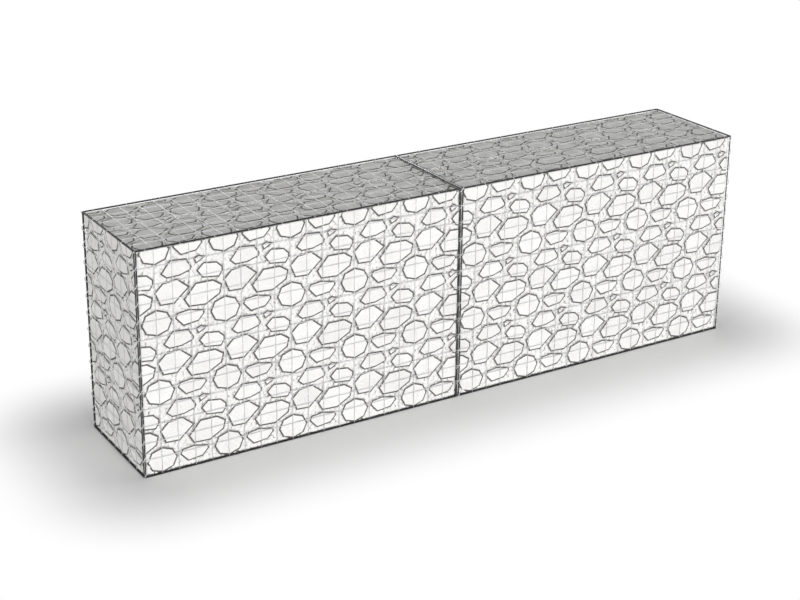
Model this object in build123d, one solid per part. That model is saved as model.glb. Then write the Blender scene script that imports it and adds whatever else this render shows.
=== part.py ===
from build123d import *
import os

os.makedirs("parts", exist_ok=True)

# A free-standing gabion wall of two bays: welded wire mesh baskets filled with stone.
# The origin is on the ground under the middle of the wall. X runs along the wall,
# -Y is the front face and Z is up. All lengths are in millimetres.

# Driving dimensions of one bay, centre to centre of a mesh panel's edge wires
bay_length = 1500.0
bay_depth = 525.0
bay_height = 975.0
mesh_pitch = 75.0

# Wire diameters
edge_wire = 5.0
mesh_wire = 3.0
binder_wire = 3.0
tie_wire = 3.0

# Tie wires across the basket, and the binders' cut ends
tie_every = 4       # one tie at every fourth upright mesh wire
hook_return = 12.0  # how far a tie's bent end comes back into the basket
binder_tail = 6.0   # how far a binder climbs past the top edge wire

# Clearances
fit_gap = 0.2       # between neighbouring edge wires, and between any wire and the fill
weld_gap = 0.1      # between the two layers of mesh wire where they cross

# Mesh counts that give whole apertures of about the mesh pitch
length_apertures = max(2, round(bay_length / mesh_pitch))
depth_apertures = max(2, round(bay_depth / mesh_pitch))
height_apertures = max(3, round(bay_height / mesh_pitch))
length_pitch = bay_length / length_apertures
depth_pitch = bay_depth / depth_apertures
height_pitch = bay_height / height_apertures

# Neighbouring panels lie edge wire beside edge wire, one lap apart
lap = edge_wire + fit_gap
layer_step = mesh_wire + weld_gap
side_plane = bay_depth / 2 + lap
end_plane = lap + bay_length + lap
bay_centre = lap + bay_length / 2
ground_wire_z = edge_wire / 2
top_wire_z = ground_wire_z + bay_height
mid_height = ground_wire_z + bay_height / 2


def bar(size_x, size_y, size_z, x, y, z):
    """A straight square bar centred at x, y, z."""
    return Pos(x, y, z) * Box(size_x, size_y, size_z)


def mesh_panel(width, height, across, up):
    """A welded mesh panel in the XY plane, with its crosswise wires on the +Z side.

    The edge wires and the upright wires lie in one layer. The crosswise wires lie on
    top of the edge wires and are welded into them.
    """
    outer = Rectangle(width + edge_wire, height + edge_wire)
    inner = Rectangle(width - edge_wire, height - edge_wire)
    frame = extrude(outer - inner, amount=edge_wire / 2, both=True)
    wires = []
    for i in range(1, across):
        x = -width / 2 + i * width / across
        wires.append(bar(mesh_wire, height, mesh_wire, x, 0, 0))
    for j in range(1, up):
        y = -height / 2 + j * height / up
        wires.append(bar(width + mesh_wire, mesh_wire, mesh_wire, 0, y, layer_step))
    return frame.fuse(*wires).solid()


def binder(reach, start):
    """A helical binder wire standing on the origin, one turn to each mesh aperture.

    In plan it goes round a square loop that reaches this far from its axis. It begins
    start turns on from the loop's front left corner, and ends in a short tail above
    the top edge wire.
    """
    corners = [Vector(-reach, -reach), Vector(reach, -reach), Vector(reach, reach), Vector(-reach, reach)]

    def point(turns):
        side, share = divmod(4 * (turns % 1), 1)
        here = corners[int(side)]
        ahead = corners[(int(side) + 1) % 4]
        return here + (ahead - here) * share + Vector(0, 0, (turns - start) * height_pitch)

    bends = [bend / 4 for bend in range(1, 4 * height_apertures + 1)]
    last = start + height_apertures + binder_tail / height_pitch
    stops = [start, *(turns for turns in bends if turns > start), last]
    path = Polyline(*[point(turns) for turns in stops])
    section = Plane(path @ 0, z_dir=path % 0) * Rectangle(binder_wire, binder_wire)
    return sweep(section, path=path, transition=Transition.RIGHT)


# Mesh panels. The front, back and end panels stand outside the base and the lid.
side_panel = mesh_panel(bay_length, bay_height, length_apertures, height_apertures)
flat_panel = mesh_panel(bay_length, bay_depth, length_apertures, depth_apertures)
end_panel = mesh_panel(bay_depth, bay_height, depth_apertures, height_apertures)

LEFTWARDS = (-1, 0, 0)
RIGHTWARDS = (1, 0, 0)
FORWARDS = (0, -1, 0)
BACKWARDS = (0, 1, 0)
DOWNWARDS = (0, 0, -1)

pieces = {}
for name, side in (("left", -1), ("right", 1)):
    middle = side * bay_centre
    front = Plane((middle, -side_plane, mid_height), x_dir=RIGHTWARDS, z_dir=FORWARDS)
    back = Plane((middle, side_plane, mid_height), x_dir=LEFTWARDS, z_dir=BACKWARDS)
    base = Plane((middle, 0, ground_wire_z))
    lid = Plane((middle, 0, top_wire_z), x_dir=RIGHTWARDS, z_dir=DOWNWARDS)
    pieces[f"front_mesh_{name}"] = front * side_panel
    pieces[f"back_mesh_{name}"] = back * side_panel
    pieces[f"base_mesh_{name}"] = base * flat_panel
    pieces[f"lid_mesh_{name}"] = lid * flat_panel
left_end = Plane((-end_plane, 0, mid_height), x_dir=FORWARDS, z_dir=LEFTWARDS)
right_end = Plane((end_plane, 0, mid_height), x_dir=BACKWARDS, z_dir=RIGHTWARDS)
middle_wall = Plane((0, 0, mid_height), x_dir=BACKWARDS, z_dir=RIGHTWARDS)
pieces["end_mesh_left"] = left_end * end_panel
pieces["end_mesh_right"] = right_end * end_panel
pieces["diaphragm_mesh"] = middle_wall * end_panel

# Helical binders. At a corner the loop goes round two upright edge wires that lie
# corner to corner, and at the diaphragm round three. The wire's square section turns
# as it climbs, so it is cleared by half its diagonal.
binder_half = binder_wire / 2**0.5
corner_reach = (lap + edge_wire) / 2 + fit_gap + binder_half
corner_binder = binder(corner_reach, 0)
corner_x = end_plane - lap / 2
corner_y = side_plane - lap / 2
corners = (
    ("front_left", -corner_x, -corner_y, 0),
    ("front_right", corner_x, -corner_y, 90),
    ("back_right", corner_x, corner_y, 180),
    ("back_left", -corner_x, corner_y, 270),
)
for name, x, y, turn in corners:
    pieces[f"binder_{name}"] = Pos(x, y, ground_wire_z) * Rot(0, 0, turn) * corner_binder

# The loop at the diaphragm passes outside the ends of the crosswise mesh wires, and
# starts half way along its front side.
MIDDLE_OF_FRONT = 1 / 8
crosswise_face = lap / 2 + layer_step + mesh_wire / 2
seam_reach = max(lap + edge_wire / 2, crosswise_face) + fit_gap + binder_half
seam_binder = binder(seam_reach, MIDDLE_OF_FRONT)
pieces["binder_front_middle"] = Pos(0, -corner_y, ground_wire_z) * seam_binder
pieces["binder_back_middle"] = Pos(0, corner_y, ground_wire_z) * Rot(0, 0, 180) * seam_binder

# Tie wires. Each lies level from the front mesh to the back mesh, hooked at both ends
# round an upright mesh wire, half way up an aperture.
wrap = (mesh_wire + tie_wire) / 2 + fit_gap
hook_y = side_plane + wrap
return_y = side_plane - hook_return
tie_path = Polyline(
    (-wrap, -return_y),
    (-wrap, -hook_y),
    (wrap, -hook_y),
    (wrap, hook_y),
    (-wrap, hook_y),
    (-wrap, return_y),
)
tie = extrude(trace(tie_path, line_width=tie_wire), amount=tie_wire / 2, both=True)
low_row = height_apertures // 3 + 0.5
tie_levels = {
    "lower": ground_wire_z + low_row * height_pitch,
    "upper": ground_wire_z + (height_apertures - low_row) * height_pitch,
}
tie_count = max(1, length_apertures // tie_every - 1)
first_tie = (length_apertures - tie_every * (tie_count - 1)) // 2
tie_places = [lap + (first_tie + i * tie_every) * length_pitch for i in range(tie_count)]
for name, side in (("left", -1), ("right", 1)):
    for level, z in tie_levels.items():
        ties = [Pos(side * x, 0, z) * tie for x in tie_places]
        pieces[f"tie_wires_{name}_{level}"] = Compound(children=ties)

# Stone fill, placed in three lifts to a bay. The ties lie on the first two lifts, in
# grooves that the stones leave round them, and the upright edges are rebated where the
# binders turn. Beside the diaphragm the fill stops at its own basket's edge wires, or at
# the diaphragm's crosswise wires if they stand out more.
wire_face = mesh_wire / 2 + fit_gap
fill_outer = end_plane - wire_face
fill_inner = max(lap + edge_wire / 2, layer_step + wire_face)
fill_side = side_plane - wire_face
corner_room_x = corner_x - corner_reach - binder_half - fit_gap
corner_room_y = corner_y - corner_reach - binder_half - fit_gap
seam_room_x = seam_reach + binder_half + fit_gap
seam_room_y = corner_y - seam_reach - binder_half - fit_gap
front_half = [
    (fill_inner, -seam_room_y),
    (seam_room_x, -seam_room_y),
    (seam_room_x, -fill_side),
    (corner_room_x, -fill_side),
    (corner_room_x, -corner_room_y),
    (fill_outer, -corner_room_y),
]
back_half = [(x, -y) for x, y in reversed(front_half)]
fill_plan = Polygon(*front_half, *back_half, align=None)
fill_bottom = ground_wire_z + layer_step + mesh_wire / 2
fill_top = top_wire_z - layer_step - mesh_wire / 2
groove_width = 2 * wrap + tie_wire + 2 * fit_gap
groove_depth = tie_wire + 2 * fit_gap
lift_rise = tie_wire / 2 + fit_gap
lifts = (
    ("lower", fill_bottom, tie_levels["lower"] + lift_rise),
    ("middle", tie_levels["lower"] + lift_rise, tie_levels["upper"] + lift_rise),
    ("upper", tie_levels["upper"] + lift_rise, fill_top),
)
for level, bottom, top in lifts:
    lift = Pos(0, 0, bottom) * extrude(fill_plan, amount=top - bottom)
    if level != "upper":
        hung = (Align.CENTER, Align.CENTER, Align.MAX)
        groove = Box(groove_width, 2 * fill_side, groove_depth, align=hung)
        lift = lift - [Pos(x, 0, top) * groove for x in tie_places]
    pieces[f"stone_fill_right_{level}"] = lift
    pieces[f"stone_fill_left_{level}"] = mirror(lift, about=Plane.YZ)

for name, piece in pieces.items():
    export_step(piece, f"parts/{name}.step")
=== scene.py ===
import math
import random

import bpy
from mathutils import Matrix, Vector


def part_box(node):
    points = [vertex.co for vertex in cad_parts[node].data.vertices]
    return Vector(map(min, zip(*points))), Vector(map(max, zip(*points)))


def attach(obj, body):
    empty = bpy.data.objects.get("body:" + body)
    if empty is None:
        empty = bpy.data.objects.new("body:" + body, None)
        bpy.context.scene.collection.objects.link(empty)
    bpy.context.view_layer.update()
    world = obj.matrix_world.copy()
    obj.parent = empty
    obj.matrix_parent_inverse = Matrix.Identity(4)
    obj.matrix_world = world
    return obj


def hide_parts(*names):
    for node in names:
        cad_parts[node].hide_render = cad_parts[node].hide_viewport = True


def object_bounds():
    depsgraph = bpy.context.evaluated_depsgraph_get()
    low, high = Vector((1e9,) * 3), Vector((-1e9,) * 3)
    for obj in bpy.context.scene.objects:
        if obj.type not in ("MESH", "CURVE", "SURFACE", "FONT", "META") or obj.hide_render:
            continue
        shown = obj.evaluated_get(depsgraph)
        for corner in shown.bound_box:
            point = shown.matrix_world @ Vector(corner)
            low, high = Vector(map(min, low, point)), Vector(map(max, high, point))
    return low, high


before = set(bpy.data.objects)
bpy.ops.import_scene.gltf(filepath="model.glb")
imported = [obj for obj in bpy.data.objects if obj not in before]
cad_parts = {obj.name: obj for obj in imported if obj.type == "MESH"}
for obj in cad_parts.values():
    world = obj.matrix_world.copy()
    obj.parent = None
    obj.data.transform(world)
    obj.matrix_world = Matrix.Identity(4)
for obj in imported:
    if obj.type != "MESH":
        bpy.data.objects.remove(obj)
cad_low, cad_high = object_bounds()
bpy.ops.object.select_all(action="DESELECT")


# The mesh of the panels. Flat panels of welded galvanised wire at 75 mm centres make the
# baskets: upright wires in one layer, and crosswise wires laid on top of them and welded
# at every crossing. The crosswise wires are cut off just past the middle of the edge wires.
MESH_PITCH = 0.075
MESH_WIRE = 0.003
EDGE_WIRE = 0.005
# The welds sink the two layers a little into each other
WELDED_STEP = 0.0026
WIRE_SIDES = 8
WIRE_SMOOTHING = math.radians(46)
ZINC_BRIGHT = (0.72, 0.73, 0.74, 1)
ZINC_DULL = (0.52, 0.53, 0.55, 1)
ZINC_WORN = (0.45, 0.44, 0.42, 1)

RIGHT = Vector((1, 0, 0))
FORWARD = Vector((0, -1, 0))
UP = Vector((0, 0, 1))
PANELS = {
    "front_mesh_left": (RIGHT, UP),
    "front_mesh_right": (RIGHT, UP),
    "back_mesh_left": (-RIGHT, UP),
    "back_mesh_right": (-RIGHT, UP),
    "end_mesh_left": (FORWARD, UP),
    "end_mesh_right": (-FORWARD, UP),
    "diaphragm_mesh": (-FORWARD, UP),
    "base_mesh_left": (RIGHT, -FORWARD),
    "base_mesh_right": (RIGHT, -FORWARD),
    "lid_mesh_left": (RIGHT, FORWARD),
    "lid_mesh_right": (RIGHT, FORWARD),
}


def add_node(tree, kind, settings=None, **values):
    """Adds a shader node. Each value is a plain one, or another node's output to link."""
    node = tree.nodes.new(kind)
    for name, setting in (settings or {}).items():
        setattr(node, name, setting)
    for name, value in values.items():
        socket = node.inputs[name.replace("_", " ")]
        if isinstance(value, bpy.types.NodeSocket):
            tree.links.new(value, socket)
        else:
            socket.default_value = value
    return node


def calculate(tree, operation, *values, clamp=False):
    """Adds a Math node on plain numbers or other nodes' outputs, and returns its output."""
    node = tree.nodes.new("ShaderNodeMath")
    node.operation = operation
    node.use_clamp = clamp
    for socket, value in zip(node.inputs, values):
        if isinstance(value, bpy.types.NodeSocket):
            tree.links.new(value, socket)
        else:
            socket.default_value = value
    return node.outputs[0]


def blend_colours(tree, share, first, second):
    """Adds a colour Mix node, and returns its output."""
    node = tree.nodes.new("ShaderNodeMix")
    node.data_type = "RGBA"
    for index, value in ((0, share), (6, first), (7, second)):
        if isinstance(value, bpy.types.NodeSocket):
            tree.links.new(value, node.inputs[index])
        else:
            node.inputs[index].default_value = value
    return node.outputs[2]


def new_group(name, inputs, outputs):
    """Starts a shader node group with named number sockets."""
    tree = bpy.data.node_groups.new(name, "ShaderNodeTree")
    for socket, value in inputs.items():
        made = tree.interface.new_socket(socket, in_out="INPUT", socket_type="NodeSocketFloat")
        made.default_value = value
    for socket in outputs:
        tree.interface.new_socket(socket, in_out="OUTPUT", socket_type="NodeSocketFloat")
    return tree, tree.nodes.new("NodeGroupInput").outputs, tree.nodes.new("NodeGroupOutput").inputs


def place_group(tree, group, **values):
    """Places a node group in a material, and returns its outputs."""
    node = tree.nodes.new("ShaderNodeGroup")
    node.node_tree = group
    for name, value in values.items():
        node.inputs[name].default_value = value
    return node.outputs


def new_material(name):
    """Starts a material, and returns it with its node tree and its shader."""
    material = bpy.data.materials.new(name)
    material.use_nodes = True
    return material, material.node_tree, material.node_tree.nodes["Principled BSDF"]


def wire_weathering():
    """Zinc or coating on wire: a slow mottle, and fine scratches, as two masks and a height."""
    outputs = ("Mottle", "Grime", "Height")
    tree, given, results = new_group("Wire_Weathering", {"Mottle Scale": 40.0}, outputs)
    place = add_node(tree, "ShaderNodeTexCoord").outputs["Object"]
    mottle = add_node(tree, "ShaderNodeTexNoise", Vector=place, Scale=given["Mottle Scale"], Detail=3.0)
    fine = add_node(tree, "ShaderNodeTexNoise", Vector=place, Scale=900.0, Detail=2.0)
    slow = add_node(tree, "ShaderNodeTexNoise", Vector=place, Scale=5.0, Detail=4.0)
    grime = add_node(tree, "ShaderNodeMapRange", Value=slow.outputs[0], From_Min=0.45, From_Max=0.75)
    tree.links.new(mottle.outputs[0], results["Mottle"])
    tree.links.new(grime.outputs[0], results["Grime"])
    tree.links.new(fine.outputs[0], results["Height"])
    return tree


WIRE_GROUP = wire_weathering()


def galvanised_finish():
    """Dull zinc: light grey, a little darker and rougher where it has weathered."""
    material, tree, shader = new_material("Galvanised_Wire")
    masks = place_group(tree, WIRE_GROUP, **{"Mottle Scale": 60.0})
    zinc = blend_colours(tree, masks["Mottle"], ZINC_BRIGHT, ZINC_DULL)
    dark_share = calculate(tree, "MULTIPLY", masks["Grime"], 0.35)
    colour = blend_colours(tree, dark_share, zinc, ZINC_WORN)
    roughness = calculate(tree, "MULTIPLY_ADD", masks["Mottle"], 0.25, 0.32)
    bump = add_node(tree, "ShaderNodeBump", Strength=0.15, Distance=0.0002, Height=masks["Height"])
    tree.links.new(colour, shader.inputs["Base Color"])
    tree.links.new(roughness, shader.inputs["Roughness"])
    tree.links.new(bump.outputs[0], shader.inputs["Normal"])
    shader.inputs["Metallic"].default_value = 0.8
    return material


GALVANISED = galvanised_finish()


def pick(*pieces):
    """Selects these objects alone. The last one is active."""
    bpy.ops.object.select_all(action="DESELECT")
    for piece in pieces:
        piece.select_set(True)
    bpy.context.view_layer.objects.active = pieces[-1]


def settle():
    """Puts the place, turn and size of the selected objects into their meshes."""
    bpy.ops.object.transform_apply(location=True, rotation=True, scale=True)


def join(*pieces):
    """Joins pieces into the last one."""
    pick(*pieces)
    bpy.ops.object.join()
    return bpy.context.object


def set_down(piece, place):
    """Moves a piece made on its own axes to its place in the wall."""
    piece.matrix_world = place
    pick(piece)
    settle()


def fit(piece, name, material, slot, *nodes):
    """Names a finished piece, gives it its finish, and fixes it in place of its CAD nodes."""
    piece.name = name
    piece.data.name = name
    piece.data.materials.clear()
    piece.data.materials.append(material)
    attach(piece, "root")
    if nodes:
        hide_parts(*nodes)


def panel_place(node, right, up):
    """A panel's place in the wall, and its width and height between its edge wires."""
    low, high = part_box(node)
    out = right.cross(up)
    size = high - low
    width = abs(size.dot(right)) - EDGE_WIRE
    height = abs(size.dot(up)) - EDGE_WIRE
    place = Matrix((right, up, out)).transposed().to_4x4()
    place.translation = (low + high) / 2 + out * (EDGE_WIRE - abs(size.dot(out))) / 2
    return place, width, height


def repeat(piece, count, step):
    """Repeats the active piece in a row."""
    row = piece.modifiers.new("Row", "ARRAY")
    row.count = count
    row.use_relative_offset = False
    row.use_constant_offset = True
    row.constant_offset_displace = step
    bpy.ops.object.modifier_apply(modifier=row.name)


def wire_row(count, length, first, turn, step):
    """A row of straight round wires: one is made, and an array repeats it."""
    bpy.ops.mesh.primitive_cylinder_add(
        vertices=WIRE_SIDES, radius=MESH_WIRE / 2, depth=length, location=first, rotation=turn
    )
    settle()
    wires = bpy.context.object
    repeat(wires, count, step)
    bpy.ops.object.shade_smooth_by_angle(angle=WIRE_SMOOTHING)
    return wires


for node, (right, up) in PANELS.items():
    place, width, height = panel_place(node, right, up)
    across = round(width / MESH_PITCH)
    rows = round(height / MESH_PITCH)
    first_upright = (MESH_PITCH - width / 2, 0, 0)
    first_crosswise = (0, MESH_PITCH - height / 2, WELDED_STEP)
    uprights = wire_row(across - 1, height, first_upright, (math.pi / 2, 0, 0), (MESH_PITCH, 0, 0))
    crosswise = wire_row(
        rows - 1, width + MESH_WIRE, first_crosswise, (0, math.pi / 2, 0), (0, MESH_PITCH, 0)
    )
    mesh_wires = join(uprights, crosswise)
    set_down(mesh_wires, place)
    fit(mesh_wires, f"{node}_wires", GALVANISED, "galvanised_wire", node)


# The edge wires. A thicker wire runs round each panel, mitred at the corners. It is coated
# dark, so the outline of every basket shows, and left bare on the diaphragm inside the wall.
# Neighbouring panels lie with their edge wires side by side.
EDGE_WIRE_SIDES = 12
COAT_BLACK = (0.012, 0.012, 0.013, 1)
COAT_FADED = (0.028, 0.028, 0.031, 1)
COAT_DUSTY = (0.07, 0.068, 0.063, 1)


def coated_finish():
    """A dark plastic coat with a soft shine, dusty in patches."""
    material, tree, shader = new_material("Coated_Wire")
    masks = place_group(tree, WIRE_GROUP, **{"Mottle Scale": 25.0})
    coat = blend_colours(tree, masks["Mottle"], COAT_BLACK, COAT_FADED)
    dust = calculate(tree, "MULTIPLY", masks["Grime"], 0.3)
    colour = blend_colours(tree, dust, coat, COAT_DUSTY)
    roughness = calculate(tree, "MULTIPLY_ADD", masks["Grime"], 0.2, 0.55)
    bump = add_node(tree, "ShaderNodeBump", Strength=0.1, Distance=0.0002, Height=masks["Height"])
    tree.links.new(colour, shader.inputs["Base Color"])
    tree.links.new(roughness, shader.inputs["Roughness"])
    tree.links.new(bump.outputs[0], shader.inputs["Normal"])
    shader.inputs["Specular IOR Level"].default_value = 0.25
    return material


COATED = coated_finish()


def select_points(piece, test):
    """Goes into edit mode with only the points selected that pass the test."""
    pick(piece)
    bpy.ops.object.mode_set(mode="EDIT")
    bpy.ops.mesh.select_mode(type="VERT")
    bpy.ops.mesh.select_all(action="DESELECT")
    bpy.ops.object.mode_set(mode="OBJECT")
    for point in piece.data.vertices:
        point.select = test(point.co)
    bpy.ops.object.mode_set(mode="EDIT")


def edge_frame(width, height):
    """A ring of four straight wires. It is made square, and its sides are then moved apart."""
    side = min(width, height)
    diagonal = math.sqrt(2)
    bpy.ops.mesh.primitive_torus_add(
        major_segments=4,
        minor_segments=EDGE_WIRE_SIDES,
        major_radius=side / diagonal,
        minor_radius=EDGE_WIRE / 2 * diagonal,
        rotation=(0, 0, math.pi / 4),
    )
    ring = bpy.context.object
    ring.scale.z = 1 / diagonal
    settle()
    moves = (
        (lambda at: at.x > 0, ((width - side) / 2, 0, 0)),
        (lambda at: at.x < 0, ((side - width) / 2, 0, 0)),
        (lambda at: at.y > 0, (0, (height - side) / 2, 0)),
        (lambda at: at.y < 0, (0, (side - height) / 2, 0)),
    )
    for test, move in moves:
        select_points(ring, test)
        bpy.ops.transform.translate(value=move)
        bpy.ops.object.mode_set(mode="OBJECT")
    bpy.ops.object.shade_smooth_by_angle(angle=WIRE_SMOOTHING)
    return ring


for node, (right, up) in PANELS.items():
    place, width, height = panel_place(node, right, up)
    edge_wires = edge_frame(width, height)
    set_down(edge_wires, place)
    if node == "diaphragm_mesh":
        fit(edge_wires, f"{node}_edges", GALVANISED, "galvanised_wire", node)
    else:
        fit(edge_wires, f"{node}_edges", COATED, "coated_wire", node)


# The helical binders. Each is a galvanised wire wound into a long open coil, screwed down
# over the upright edge wires of the panels that meet there, one turn to every mesh. Its cut
# end stands just above the lid.
BINDER_WIRE = 0.003
CORNER_COIL = 0.008
MIDDLE_COIL = 0.010
COIL_STEPS = 16
# The way each coil faces at the height of the base's edge wires
BINDERS = {
    "binder_front_left": (CORNER_COIL, math.radians(225)),
    "binder_front_right": (CORNER_COIL, math.radians(315)),
    "binder_back_right": (CORNER_COIL, math.radians(45)),
    "binder_back_left": (CORNER_COIL, math.radians(135)),
    "binder_front_middle": (MIDDLE_COIL, math.radians(270)),
    "binder_back_middle": (MIDDLE_COIL, math.radians(90)),
}


def turn_outwards():
    """Turns every face of the piece in edit mode outwards, and leaves edit mode."""
    bpy.ops.mesh.select_all(action="SELECT")
    bpy.ops.mesh.normals_make_consistent(inside=False)
    bpy.ops.object.mode_set(mode="OBJECT")


for node, (coil_radius, heading) in BINDERS.items():
    low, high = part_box(node)
    slope = math.atan2(MESH_PITCH, math.tau * coil_radius)
    half_section = BINDER_WIRE / 2 / math.cos(slope)
    rise = high.z - low.z - 2 * half_section
    start = low.z + half_section
    turns = rise / MESH_PITCH
    bpy.ops.mesh.primitive_circle_add(
        vertices=WIRE_SIDES,
        radius=BINDER_WIRE / 2,
        location=(coil_radius, 0, 0),
        rotation=(math.pi / 2, 0, 0),
    )
    coil = bpy.context.object
    coil.scale.y = 1 / math.cos(slope)
    settle()
    screw = coil.modifiers.new("Coil", "SCREW")
    screw.angle = turns * math.tau
    screw.screw_offset = rise
    screw.steps = round(turns * COIL_STEPS)
    screw.render_steps = screw.steps
    bpy.ops.object.modifier_apply(modifier=screw.name)
    bpy.ops.object.mode_set(mode="EDIT")
    bpy.ops.mesh.select_all(action="SELECT")
    bpy.ops.mesh.fill_holes(sides=WIRE_SIDES)
    turn_outwards()
    bpy.ops.object.shade_smooth_by_angle(angle=WIRE_SMOOTHING)
    turned = heading + (start - EDGE_WIRE / 2) / MESH_PITCH * math.tau
    axis = Vector(((low.x + high.x) / 2, (low.y + high.y) / 2, start))
    set_down(coil, Matrix.Translation(axis) @ Matrix.Rotation(turned, 4, "Z"))
    fit(coil, f"{node}_coil", GALVANISED, "galvanised_wire", node)


# The tie wires. Straight galvanised wires cross the baskets from front to back on top of
# the first and the second lift of stone, so the front can't bulge. Both ends are bent
# round an upright wire of the mesh and turned back in.
TIE_WIRE = 0.003
TIE_SPACING = 4 * MESH_PITCH
TIE_RETURN = 0.012
BEND_STEPS = 6
FIT_GAP = 0.0002
MERGED_WITHIN = 0.00001


def tie_wires(node):
    """The ties of one lift: one is bent to shape, and an array repeats it."""
    low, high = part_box(node)
    wrap = (MESH_WIRE + TIE_WIRE) / 2 + FIT_GAP
    mesh_y = high.y - wrap - TIE_WIRE / 2
    bpy.ops.mesh.primitive_circle_add(
        vertices=WIRE_SIDES,
        radius=TIE_WIRE / 2,
        fill_type="NGON",
        location=(-wrap, TIE_RETURN - mesh_y, 0),
        rotation=(math.pi / 2, 0, 0),
    )
    settle()
    ties = bpy.context.object
    bpy.ops.object.mode_set(mode="EDIT")
    bpy.ops.mesh.select_all(action="SELECT")
    bpy.ops.mesh.extrude_region_move(TRANSFORM_OT_translate={"value": (0, -TIE_RETURN, 0)})
    bpy.ops.mesh.spin(steps=BEND_STEPS, angle=math.pi, center=(0, -mesh_y, 0), axis=(0, 0, 1))
    bpy.ops.mesh.extrude_region_move(TRANSFORM_OT_translate={"value": (0, 2 * mesh_y, 0)})
    bpy.ops.mesh.spin(steps=BEND_STEPS, angle=math.pi, center=(0, mesh_y, 0), axis=(0, 0, 1))
    bpy.ops.mesh.extrude_region_move(TRANSFORM_OT_translate={"value": (0, -TIE_RETURN, 0)})
    bpy.ops.mesh.select_all(action="SELECT")
    bpy.ops.mesh.remove_doubles(threshold=MERGED_WITHIN)
    turn_outwards()
    repeat(ties, 1 + round((high.x - low.x) / TIE_SPACING), (TIE_SPACING, 0, 0))
    bpy.ops.object.shade_smooth_by_angle(angle=WIRE_SMOOTHING)
    set_down(ties, Matrix.Translation((low.x + wrap + TIE_WIRE / 2, 0, (low.z + high.z) / 2)))
    fit(ties, f"{node}_bent", GALVANISED, "galvanised_wire", node)


for bay in ("left", "right"):
    for level in ("lower", "upper"):
        tie_wires(f"tie_wires_{bay}_{level}")


# The core of the fill. Behind the facing each basket is filled with crushed limestone,
# tipped in and shaken down in three lifts. It shows only as the bottom of the deepest
# joints, so each bay's core is one lumpy block.
CORE_SETBACK = 0.012
CORE_CUTS = 40
CORE_LUMPS = 0.004
CRUSHED_PALE = (0.88, 0.87, 0.85, 1)
CRUSHED_GREY = (0.72, 0.71, 0.68, 1)
CRUSHED_SPECKS = (0.45, 0.44, 0.42, 1)


def stone_grain():
    """The look of broken limestone: slow clouds, small specks and a gritty height."""
    outputs = ("Clouds", "Specks", "Height")
    tree, given, results = new_group("Stone_Grain", {"Grain Scale": 1.0}, outputs)
    place = add_node(tree, "ShaderNodeTexCoord").outputs["Object"]
    sized = add_node(tree, "ShaderNodeVectorMath", {"operation": "SCALE"}, Vector=place)
    tree.links.new(given["Grain Scale"], sized.inputs["Scale"])
    sized = sized.outputs[0]
    clouds = add_node(tree, "ShaderNodeTexNoise", Vector=sized, Scale=16.0, Detail=5.0, Roughness=0.6)
    fine = add_node(tree, "ShaderNodeTexNoise", Vector=sized, Scale=260.0, Detail=3.0)
    specks = add_node(tree, "ShaderNodeMapRange", Value=fine.outputs[0], From_Min=0.58, From_Max=0.72)
    chips = add_node(tree, "ShaderNodeTexVoronoi", Vector=sized, Scale=70.0)
    height = calculate(tree, "MULTIPLY_ADD", chips.outputs["Distance"], 0.6, clouds.outputs[0])
    height = calculate(tree, "MULTIPLY_ADD", fine.outputs[0], 0.5, height)
    tree.links.new(clouds.outputs[0], results["Clouds"])
    tree.links.new(specks.outputs[0], results["Specks"])
    tree.links.new(height, results["Height"])
    return tree


STONE_GROUP = stone_grain()


def core_finish():
    """Crushed limestone in the shade of the joints: pale, dusty and rough."""
    material, tree, shader = new_material("Crushed_Stone")
    masks = place_group(tree, STONE_GROUP, **{"Grain Scale": 2.0})
    clouded = blend_colours(tree, masks["Clouds"], CRUSHED_PALE, CRUSHED_GREY)
    specks = calculate(tree, "MULTIPLY", masks["Specks"], 0.5)
    colour = blend_colours(tree, specks, clouded, CRUSHED_SPECKS)
    bump = add_node(tree, "ShaderNodeBump", Strength=0.8, Distance=0.006, Height=masks["Height"])
    tree.links.new(colour, shader.inputs["Base Color"])
    tree.links.new(bump.outputs[0], shader.inputs["Normal"])
    shader.inputs["Roughness"].default_value = 0.9
    return material


CRUSHED = core_finish()

for bay, side in (("left", -1), ("right", 1)):
    levels = [f"stone_fill_{bay}_{level}" for level in ("lower", "middle", "upper")]
    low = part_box(levels[0])[0] + Vector((CORE_SETBACK, CORE_SETBACK, 0))
    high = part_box(levels[2])[1] - Vector((CORE_SETBACK, CORE_SETBACK, CORE_SETBACK))
    # Beside the diaphragm the core isn't set back
    if side < 0:
        high.x += CORE_SETBACK
    else:
        low.x -= CORE_SETBACK
    bpy.ops.mesh.primitive_cube_add(size=1, location=(low + high) / 2, scale=high - low)
    settle()
    core = bpy.context.object
    bpy.ops.object.mode_set(mode="EDIT")
    bpy.ops.mesh.select_all(action="SELECT")
    bpy.ops.mesh.subdivide(number_cuts=CORE_CUTS)
    bpy.ops.transform.vertex_random(offset=CORE_LUMPS, uniform=1, seed=side + 2)
    bpy.ops.object.mode_set(mode="OBJECT")
    # The base mesh keeps it level underneath
    for point in core.data.vertices:
        point.co.z = max(point.co.z, low.z)
    fit(core, f"stone_core_{bay}", CRUSHED, "fill_stone", *levels)


# The facing stones. Flat pale limestones are laid by hand against the mesh on every side
# that shows, and under the lid, and small broken stones are wedged between them. The edges
# of the flat ones are painted dark, as painted shade for the joints between them. All are
# cut clear of the helical binders.
MM = 0.001
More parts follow.
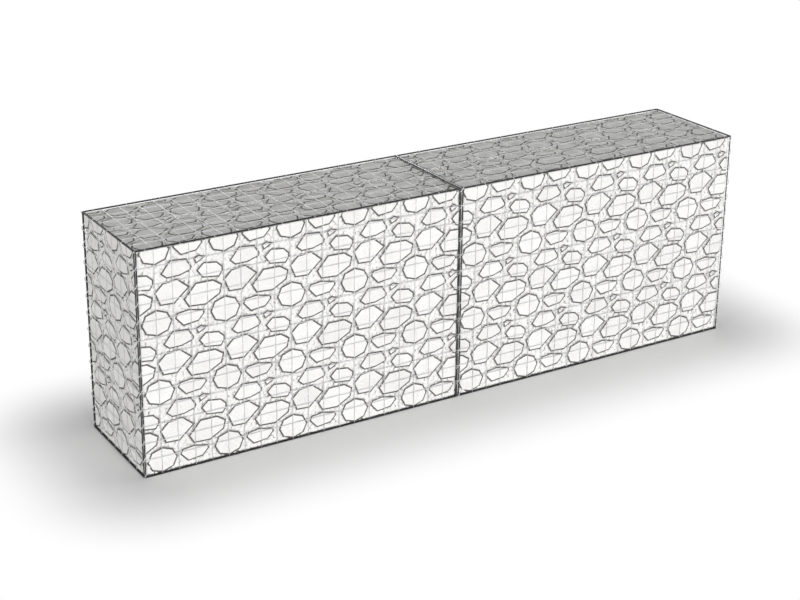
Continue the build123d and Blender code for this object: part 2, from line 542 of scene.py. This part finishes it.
# The flat stones repeat on a square tile. Their corners are given in millimetres from the
# tile's own lower left corner, and some stones reach into the next tiles.
STONE_TILE = 0.300
STONE_OUTLINES = (
    ((24, 102), (5, 60), (25, 19), (75, 4), (122, 20), (141, 61), (120, 100), (75, 118)),
    ((151, 64), (186, 25), (254, 32), (282, 63), (275, 79), (212, 92), (161, 86)),
    ((96, -38), (122, -61), (176, -60), (226, -45), (232, -30), (207, 9), (138, 14)),
    ((250, -23), (295, 2), (262, 13), (239, 3)),
    ((250, -52), (276, -88), (350, -97), (366, -74), (366, -54), (341, -30), (282, -22)),
    ((90, -170), (152, -173), (221, -113), (168, -69), (103, -76), (66, -112)),
    ((191, -163), (212, -200), (288, -205), (352, -170), (362, -130), (323, -103), (245, -102)),
)
# A flat stone has a bevelled rim round a low crown, and lies nearly level
STONE_DEPTH = 0.030
RIM_WIDTH = 0.005
RIM_DEPTH = 0.0008
RIM_INNER = 0.7
RIM_RAGGED = 0.35
# The rim's value where the painted shade begins, and where it is full
RIM_SHADE_RANGE = (0.45, 0.60)
CROWN_SHARE = 0.12
CROWN_DEPTH = 0.0012
CHIPPED = 0.0018
SUNK = (0.0006, 0.0012)
MOST_TILT = math.radians(0.6)
SMALLEST_SHOWN = 0.012
FACES_OUT = 0.5
TOLERANCE = 0.0001
# The small stones between them, and the rows of small stones along a face's borders
WEDGE_SHAPES = 6
WEDGE_LEAST_REACH = 0.75
WEDGE_TRIES = 2400
WEDGE_SIZES = (0.0065, 0.017)
WEDGE_OVERLAP = 0.004
WEDGE_SPACING = 0.5
WEDGE_FLATNESS = 0.5
WEDGE_TILT = 0.15
WEDGE_SETBACK = 0.001
WEDGE_UNEVEN = 0.003
WEDGE_DARKEST = 0.3
MESH_SETBACK = 0.0007
BORDER_STEP = 0.017
BORDER_INSET = 0.009
BORDER_WEDGE = 0.0145
STONE_PALE = (0.90, 0.895, 0.88, 1)
STONE_GREY = (0.83, 0.82, 0.80, 1)
STONE_CLOUDS = (0.70, 0.685, 0.65, 1)
STONE_SPECKS = (0.52, 0.51, 0.49, 1)
# The dark of the rims is painted shade, for the shaded joints round each flat stone
STONE_RIM_SHADE = (0.10, 0.098, 0.094, 1)
rng = random.Random(7)


def facing_finish():
    """Split limestone: each stone a little different, clouded, with a ragged dark rim of painted shade."""
    material, tree, shader = new_material("Facing_Limestone")
    masks = place_group(tree, STONE_GROUP, **{"Grain Scale": 1.0})
    place = add_node(tree, "ShaderNodeTexCoord").outputs["Object"]
    tone = add_node(tree, "ShaderNodeAttribute", {"attribute_name": "tone"}).outputs["Fac"]
    rim = add_node(tree, "ShaderNodeAttribute", {"attribute_name": "rim"}).outputs["Fac"]
    toned = blend_colours(tree, tone, STONE_PALE, STONE_GREY)
    clouds = add_node(
        tree, "ShaderNodeMapRange", Value=masks["Clouds"], From_Min=0.4, From_Max=0.75, To_Max=0.4
    )
    clouded = blend_colours(tree, clouds.outputs[0], toned, STONE_CLOUDS)
    specks = calculate(tree, "MULTIPLY", masks["Specks"], 0.3)
    face = blend_colours(tree, specks, clouded, STONE_SPECKS)
    ragged = add_node(tree, "ShaderNodeTexNoise", Vector=place, Scale=140.0, Detail=3.0)
    dark_share = calculate(tree, "MULTIPLY_ADD", ragged.outputs[0], RIM_RAGGED, rim)
    # The noise lies round a half, so it adds half of its share on average
    dark = add_node(
        tree,
        "ShaderNodeMapRange",
        {"interpolation_type": "SMOOTHSTEP"},
        Value=dark_share,
        From_Min=RIM_SHADE_RANGE[0] + RIM_RAGGED / 2,
        From_Max=RIM_SHADE_RANGE[1] + RIM_RAGGED / 2,
    )
    # The rim is painted dark here: painted shade for the joint round the stone
    colour = blend_colours(tree, dark.outputs[0], face, STONE_RIM_SHADE)
    bump = add_node(tree, "ShaderNodeBump", Strength=0.6, Distance=0.006, Height=masks["Height"])
    tree.links.new(colour, shader.inputs["Base Color"])
    tree.links.new(bump.outputs[0], shader.inputs["Normal"])
    shader.inputs["Roughness"].default_value = 0.85
    return material


LIMESTONE = facing_finish()


def dress_stone(outline):
    """One facing stone lying face up, centred in plan, with a bevelled rim and a low crown."""
    middle = Vector((sum(x for x, _ in outline), sum(y for _, y in outline))) / len(outline)
    reach = min((Vector(corner) - middle).length for corner in outline) * MM
    wall_top = -RIM_DEPTH - CROWN_DEPTH
    bpy.ops.mesh.primitive_circle_add(vertices=len(outline), radius=reach, fill_type="NGON")
    stone = bpy.context.object
    for point, (x, y) in zip(stone.data.vertices, outline):
        point.co = ((x - middle.x) * MM, (y - middle.y) * MM, -STONE_DEPTH)
    bpy.ops.object.mode_set(mode="EDIT")
    bpy.ops.mesh.select_all(action="SELECT")
    bpy.ops.mesh.extrude_region_move(TRANSFORM_OT_translate={"value": (0, 0, STONE_DEPTH + wall_top)})
    bpy.ops.mesh.inset(thickness=RIM_WIDTH, depth=RIM_DEPTH)
    bpy.ops.mesh.inset(thickness=CROWN_SHARE * reach, depth=CROWN_DEPTH)
    bpy.ops.mesh.poke()
    turn_outwards()
    rings = ((wall_top, 1.0), (wall_top + RIM_DEPTH, RIM_INNER))
    rims = []
    for corner in stone.data.loops:
        height = stone.data.vertices[corner.vertex_index].co.z
        rims.append(sum(value for z, value in rings if abs(height - z) < TOLERANCE))
    stone.data.attributes.new("rim", "FLOAT", "CORNER").data.foreach_set("value", rims)
    stone.data.attributes.new("tone", "FLOAT", "POINT")
    return stone, middle * MM


def clearance(place):
    """How far a place on the tile lies outside the nearest facing stone."""
    nearest = STONE_TILE
    for outline in STONE_OUTLINES:
        corners = [Vector(corner) * MM for corner in outline]
        for column in (-1, 0, 1):
            for row in (-1, 0, 1):
                shifted = place - Vector((column, row)) * STONE_TILE
                outside = []
                for start, end in zip(corners, corners[1:] + corners[:1]):
                    along = (end - start).normalized()
                    outside.append((shifted - start).dot(Vector((along.y, -along.x))))
                nearest = min(nearest, max(outside))
    return nearest


def broken_stone():
    """A small broken stone, a unit in radius and flattened, with its own chance facets."""
    bpy.ops.mesh.primitive_ico_sphere_add(subdivisions=1, radius=1)
    stone = bpy.context.object
    for point in stone.data.vertices:
        point.co *= rng.uniform(WEDGE_LEAST_REACH, 1)
        point.co.z *= WEDGE_FLATNESS
    stone.data.attributes.new("rim", "FLOAT", "CORNER")
    stone.data.attributes.new("tone", "FLOAT", "POINT")
    return stone


def place_stone(stone, place, turn, size, darkest, chipped):
    """Copies a stone to its place on the face, with a chance tone and chance chips on its top."""
    copy = stone.copy()
    copy.data = stone.data.copy()
    bpy.context.collection.objects.link(copy)
    for point in copy.data.vertices:
        if point.co.z > -TOLERANCE:
            point.co.z -= rng.uniform(0, chipped)
    copy.data.transform(Matrix.Translation(place) @ turn @ Matrix.Scale(size, 4))
    tones = [rng.random() * darkest] * len(copy.data.vertices)
    copy.data.attributes["tone"].data.foreach_set("value", tones)
    return copy


STONES = [dress_stone(outline) for outline in STONE_OUTLINES]
WEDGES = [broken_stone() for _ in range(WEDGE_SHAPES)]

# Places in the gaps of a tile with the size of stone that each takes, the largest first
tries = [Vector((rng.random(), rng.random())) * STONE_TILE for _ in range(WEDGE_TRIES)]
tries = [(min(clearance(place) + WEDGE_OVERLAP, WEDGE_SIZES[1]), place) for place in tries]
gaps = []
for size, place in sorted(tries, key=lambda found: -found[0]):
    room = size > WEDGE_SIZES[0]
    for other_size, other in gaps:
        # The shortest step between the two places, also across the tile's borders
        step = [(a - b + STONE_TILE / 2) % STONE_TILE - STONE_TILE / 2 for a, b in zip(place, other)]
        room = room and math.hypot(*step) > WEDGE_SPACING * (size + other_size)
    if room:
        gaps.append((size, place))


def wedge_in(place, size, cuts):
    """Copies a chance broken stone to a place in a gap, and flattens it where it meets a cut."""
    inside = [(place - point).dot(waste) < 0 for point, waste in cuts]
    if not all(inside):
        return []
    turn = Matrix.Rotation(rng.uniform(0, math.tau), 4, "Z")
    turn @= Matrix.Rotation(rng.uniform(-WEDGE_TILT, WEDGE_TILT), 4, "X")
    wedge = place_stone(rng.choice(WEDGES), place, turn, size, WEDGE_DARKEST, 0)
    for point, waste in cuts:
        if (place - point).dot(waste) > -size:
            for corner in wedge.data.vertices:
                corner.co -= waste * max((corner.co - point).dot(waste), 0)
    return [wedge]


def lay_tile(corner, low, high, pressed):
    """Lays the flat stones of one tile that show between low and high, and wedges its gaps."""
    flat = []
    for stone, middle in STONES:
        centre = corner + middle
        half = stone.dimensions.xy / 2
        shown = [min(centre[i] + half[i], high[i]) - max(centre[i] - half[i], low[i]) for i in (0, 1)]
        if min(shown) >= SMALLEST_SHOWN:
            tilt = Matrix.Rotation(rng.uniform(-MOST_TILT, MOST_TILT), 4, "X")
            tilt @= Matrix.Rotation(rng.uniform(-MOST_TILT, MOST_TILT), 4, "Y")
            place = Vector((*centre, -rng.uniform(*SUNK)))
            flat.append(place_stone(stone, place, tilt, 1, 1, CHIPPED))
    wedges = []
    for size, middle in gaps:
        depth = WEDGE_SETBACK + rng.uniform(0, WEDGE_UNEVEN) + WEDGE_FLATNESS * size
        wedges += wedge_in(Vector((*(corner + middle), -depth)), size, pressed)
    if wedges:
        wedges = [join(*wedges)]
    return flat, wedges


def wedge_borders(low, high, pressed):
    """Wedges a row of broken stones along each border of a face, where no flat stone lies."""
    wedges = []
    for i in (0, 1):
        for line in (low[i] + BORDER_INSET, high[i] - BORDER_INSET):
            for step in range(round((high[1 - i] - low[1 - i]) / BORDER_STEP) + 1):
                place = Vector((line, low[1 - i] + step * BORDER_STEP))
                place = place if i == 0 else place.yx
                if clearance(Vector([value % STONE_TILE for value in place])) > 0:
                    wedges += wedge_in(Vector((*place, -BORDER_WEDGE / 2)), BORDER_WEDGE, pressed)
    return wedges


def trim(facing, cuts):
    """Cuts the joined flat stones at each plane. Only what faces out keeps its dark rim of painted shade.
    """
    pick(facing)
    bpy.ops.object.mode_set(mode="EDIT")
    for point, waste in cuts:
        bpy.ops.mesh.select_all(action="SELECT")
        bpy.ops.mesh.bisect(plane_co=point, plane_no=waste, use_fill=True, clear_outer=True)
    turn_outwards()
    for face in facing.data.polygons:
        if face.normal.z < FACES_OUT:
            for index in face.loop_indices:
                facing.data.attributes["rim"].data[index].value = 0


def lay_stones(name, right, up, origin, low, high, cuts):
    """Lays the stones of one face from low to high on its own axes, and trims them.

    Each cut is a point on a plane and the way that its waste side faces. The small stones
    are pressed flat at the cuts, and at the mesh.
    """
    flat = []
    wedges = []
    pressed = [(Vector((0, 0, -MESH_SETBACK)), UP), *cuts]
    # A tile's stones reach into the tiles right of it and below it. One more is tried each way
    for column in range(math.floor(low[0] / STONE_TILE) - 2, math.ceil(high[0] / STONE_TILE) + 1):
        for row in range(math.floor(low[1] / STONE_TILE) - 1, math.ceil(high[1] / STONE_TILE) + 2):
            tile_flat, tile_wedges = lay_tile(Vector((column, row)) * STONE_TILE, low, high, pressed)
            flat += tile_flat
            wedges += tile_wedges
    wedges += wedge_borders(low, high, pressed)
    facing = join(*flat)
    trim(facing, cuts)
    facing = join(*wedges, facing)
    bpy.ops.object.shade_flat()
    place = Matrix((right, up, right.cross(up))).transposed().to_4x4()
    place.translation = origin
    set_down(facing, place)
    fit(facing, name, LIMESTONE, "fill_stone")


def mitre(point, waste):
    """A cut that slopes at 45 degrees, where a face meets the one round the corner."""
    return point, (waste - UP).normalized()


BAY = 1.5
DEPTH = 0.525
half_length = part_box("stone_fill_right_lower")[1].x
half_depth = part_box("stone_fill_right_lower")[1].y
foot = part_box("stone_fill_right_lower")[0].z
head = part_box("stone_fill_right_upper")[1].z - FIT_GAP
# The stones keep clear of the binders
corner_room_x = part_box("binder_front_right")[0].x
corner_room_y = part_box("binder_back_right")[0].y
middle_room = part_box("binder_front_middle")[1].x + FIT_GAP

# On a face's own axes X runs along it, Y up it and Z out of it
FACE_UP = Vector((0, 1, 0))
head_and_foot = [mitre(Vector((0, head, 0)), FACE_UP), (Vector((0, foot, 0)), -FACE_UP)]

# The tiles run on round the corners, as if the left end, the front, the right end and the
# back were one long strip. A face's shift is the place of its middle along that strip.
for bay, side in (("left", -1), ("right", 1)):
    for name, right, shift in (("front", RIGHT, BAY), ("back", -RIGHT, 3 * BAY + DEPTH)):
        facing_side = side if name == "front" else -side
        outer = shift + facing_side * half_length
        outer_room = shift + facing_side * corner_room_x
        inner = shift + facing_side * middle_room
        low = (min(outer_room, inner), foot)
        high = (max(outer_room, inner), head)
        along = Vector((facing_side, 0, 0))
        cuts = [
            mitre(Vector((outer, 0, 0)), along),
            (Vector((outer_room, 0, 0)), along),
            (Vector((inner, 0, 0)), -along),
            *head_and_foot,
        ]
        origin = -right * shift + right.cross(UP) * half_depth
        lay_stones(f"facing_{name}_{bay}", right, UP, origin, low, high, cuts)

    right = -FORWARD * side
    shift = -DEPTH / 2 if side < 0 else 2 * BAY + DEPTH / 2
    cuts = []
    for way in (-1, 1):
        along = Vector((way, 0, 0))
        cuts.append(mitre(Vector((shift + way * half_depth, 0, 0)), along))
        cuts.append((Vector((shift + way * corner_room_y, 0, 0)), along))
    cuts += head_and_foot
    low = (shift - corner_room_y, foot)
    high = (shift + corner_room_y, head)
    origin = -right * shift + RIGHT * side * half_length
    lay_stones(f"facing_end_{bay}", right, UP, origin, low, high, cuts)

    outer = BAY + side * half_length
    inner = BAY + side * middle_room
    along = Vector((side, 0, 0))
    cuts = [mitre(Vector((outer, 0, 0)), along), (Vector((inner, 0, 0)), -along)]
    for way in (-1, 1):
        across = Vector((0, way, 0))
        cuts.append(mitre(Vector((0, DEPTH / 2 + way * half_depth, 0)), across))
        corner = Vector((BAY + side * corner_room_x, DEPTH / 2 + way * corner_room_y, 0))
        cuts.append((corner, (along + across).normalized()))
    low = (min(outer, inner), DEPTH / 2 - half_depth)
    high = (max(outer, inner), DEPTH / 2 + half_depth)
    origin = Vector((-BAY, -DEPTH / 2, head))
    lay_stones(f"facing_top_{bay}", RIGHT, -FORWARD, origin, low, high, cuts)

for stone in [stone for stone, _ in STONES] + WEDGES:
    bpy.data.objects.remove(stone)


# The lid rings. Steel rings are closed with pliers round the lid's edge wires and the top
# edge wires of the panels that they meet, at every second mesh. Over the diaphragm a
# wider ring takes in both lids.
RING_WIRE = 0.0022
RING_WIRE_SIDES = 6
RING_STEPS = 12
RING_HALF_HEIGHT = EDGE_WIRE / 2 + RING_WIRE / 2 + FIT_GAP
LAP = EDGE_WIRE + FIT_GAP


def lid_ring(half_width, place, turn):
    """One closed ring, wider than high, standing across the edge wires that it holds."""
    straight = half_width - RING_HALF_HEIGHT
    bpy.ops.mesh.primitive_torus_add(
        major_segments=RING_STEPS,
        minor_segments=RING_WIRE_SIDES,
        major_radius=RING_HALF_HEIGHT,
        minor_radius=RING_WIRE / 2,
        rotation=(math.pi / 2, 0, 0),
    )
    settle()
    ring = bpy.context.object
    moves = (
        (lambda at: at.x > TOLERANCE, straight),
        (lambda at: at.x < -TOLERANCE, -straight),
    )
    for test, move in moves:
        select_points(ring, test)
        bpy.ops.transform.translate(value=(move, 0, 0))
        bpy.ops.object.mode_set(mode="OBJECT")
    bpy.ops.object.shade_smooth()
    ring.matrix_world = Matrix.Translation(place) @ Matrix.Rotation(turn, 4, "Z")
    settle()
    return ring


lid_low, lid_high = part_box("lid_mesh_right")
ring_z = lid_high.z - EDGE_WIRE / 2
edge_half_width = LAP / 2 + RING_HALF_HEIGHT
middle_half_width = LAP + RING_HALF_HEIGHT
rings = []
for i in range(1, round(BAY / MESH_PITCH), 2):
    x = lid_low.x + EDGE_WIRE / 2 + (i + 0.5) * MESH_PITCH
    y = lid_high.y - EDGE_WIRE / 2 + LAP / 2
    for way in (-1, 1):
        rings.append(lid_ring(edge_half_width, (x, way * y, ring_z), math.pi / 2))
        rings.append(lid_ring(edge_half_width, (-x, way * y, ring_z), math.pi / 2))
for i in range(1, round(DEPTH / MESH_PITCH), 2):
    x = lid_high.x - EDGE_WIRE / 2 + LAP / 2
    y = lid_low.y + EDGE_WIRE / 2 + (i + 0.5) * MESH_PITCH
    rings.append(lid_ring(edge_half_width, (x, y, ring_z), 0))
    rings.append(lid_ring(edge_half_width, (-x, y, ring_z), 0))
    rings.append(lid_ring(middle_half_width, (0, y, ring_z), 0))
fit(join(*rings), "lid_rings", GALVANISED, "galvanised_wire")


# The floor. A plain pale floor that takes the wall's shadow close by, and runs out into a
# white background.
FLOOR_SIZE = 40.0
SHADOW_REACH = 0.6
FLOOR_PAINT = (0.9, 0.9, 0.9, 1)
WHITE = (1, 1, 1, 1)


def seen_directly(tree):
    """One where the camera sees a thing, also in metal or through glass, and zero for light."""
    rays = add_node(tree, "ShaderNodeLightPath").outputs
    seen = calculate(tree, "ADD", rays["Is Camera Ray"], rays["Is Glossy Ray"])
    return calculate(tree, "ADD", seen, rays["Is Transmission Ray"], clamp=True)


def floor_finish():
    """White for the camera and for reflections, and plain pale paint near the wall."""
    material, tree, paint = new_material("Studio_Floor")
    place = add_node(tree, "ShaderNodeTexCoord").outputs["Object"]
    parts = add_node(tree, "ShaderNodeSeparateXYZ", Vector=place).outputs
    beyond = []
    for part, half in ((parts[0], cad_high.x), (parts[1], cad_high.y)):
        past = calculate(tree, "SUBTRACT", calculate(tree, "ABSOLUTE", part), half)
        beyond.append(calculate(tree, "POWER", calculate(tree, "MAXIMUM", past, 0.0), 2.0))
    away = calculate(tree, "SQRT", calculate(tree, "ADD", *beyond))
    fade = add_node(
        tree, "ShaderNodeMapRange", {"interpolation_type": "SMOOTHSTEP"}, Value=away, From_Max=SHADOW_REACH
    )
    share = calculate(tree, "MULTIPLY", seen_directly(tree), fade.outputs[0])
    white = add_node(tree, "ShaderNodeEmission", Color=WHITE, Strength=1.0)
    mix = add_node(tree, "ShaderNodeMixShader")
    tree.links.new(share, mix.inputs[0])
    tree.links.new(paint.outputs[0], mix.inputs[1])
    tree.links.new(white.outputs[0], mix.inputs[2])
    tree.links.new(mix.outputs[0], tree.nodes["Material Output"].inputs["Surface"])
    paint.inputs["Base Color"].default_value = FLOOR_PAINT
    paint.inputs["Roughness"].default_value = 0.9
    return material


bpy.ops.mesh.primitive_plane_add(size=FLOOR_SIZE)
floor = bpy.context.object
floor.name = "studio_floor"
floor.data.materials.append(floor_finish())


# The light. A large soft light from the front and low down, a weaker one from the left, and
# two more for the back and the right end, with a little light from all round. Each is given
# by its azimuth, its elevation and its strength.
LIGHTS = {
    "front_light": (0, 9, 2.2),
    "left_light": (-80, 9, 1.2),
    "right_light": (80, 9, 1.3),
    "back_light": (180, 9, 1.5),
}
LIGHT_SPREAD = math.radians(24)
ALL_ROUND = 0.22
for name, (azimuth, elevation, strength) in LIGHTS.items():
    turned = (math.radians(90 - elevation), 0, math.radians(azimuth))
    bpy.ops.object.light_add(type="SUN", rotation=turned)
    lamp = bpy.context.object
    lamp.name = name
    lamp.data.energy = strength
    lamp.data.angle = LIGHT_SPREAD

world = bpy.data.worlds.new("Studio")
world.use_nodes = True
bpy.context.scene.world = world
tree = world.node_tree
seen = seen_directly(tree)
strength = add_node(tree, "ShaderNodeMapRange", Value=seen, To_Min=ALL_ROUND, To_Max=1.0)
background = tree.nodes["Background"]
background.inputs["Color"].default_value = WHITE
tree.links.new(strength.outputs[0], background.inputs["Strength"])
bpy.context.scene.view_settings.view_transform = "Standard"


# The camera. It stands in front of the wall, to the left and above, at the drawing's
# viewing angle, with a small shift for the drawing's framing.
CAMERA_AZIMUTH = math.radians(-30.247)
CAMERA_ELEVATION = math.radians(19.965)
CAMERA_DISTANCE = 7.3293
CAMERA_TARGET = Vector((-0.3725, 0, 0.7944))
CAMERA_LENS = 76.32
CAMERA_SHIFT = (0.0564, -0.0933)
backwards = Vector((
    math.sin(CAMERA_AZIMUTH) * math.cos(CAMERA_ELEVATION),
    -math.cos(CAMERA_AZIMUTH) * math.cos(CAMERA_ELEVATION),
    math.sin(CAMERA_ELEVATION),
))
facing_wall = (-backwards).to_track_quat("-Z", "Y").to_euler()
bpy.ops.object.camera_add(location=CAMERA_TARGET + backwards * CAMERA_DISTANCE, rotation=facing_wall)
camera = bpy.context.object
camera.data.lens = CAMERA_LENS
camera.data.shift_x = CAMERA_SHIFT[0]
camera.data.shift_y = CAMERA_SHIFT[1]
bpy.context.scene.camera = camera
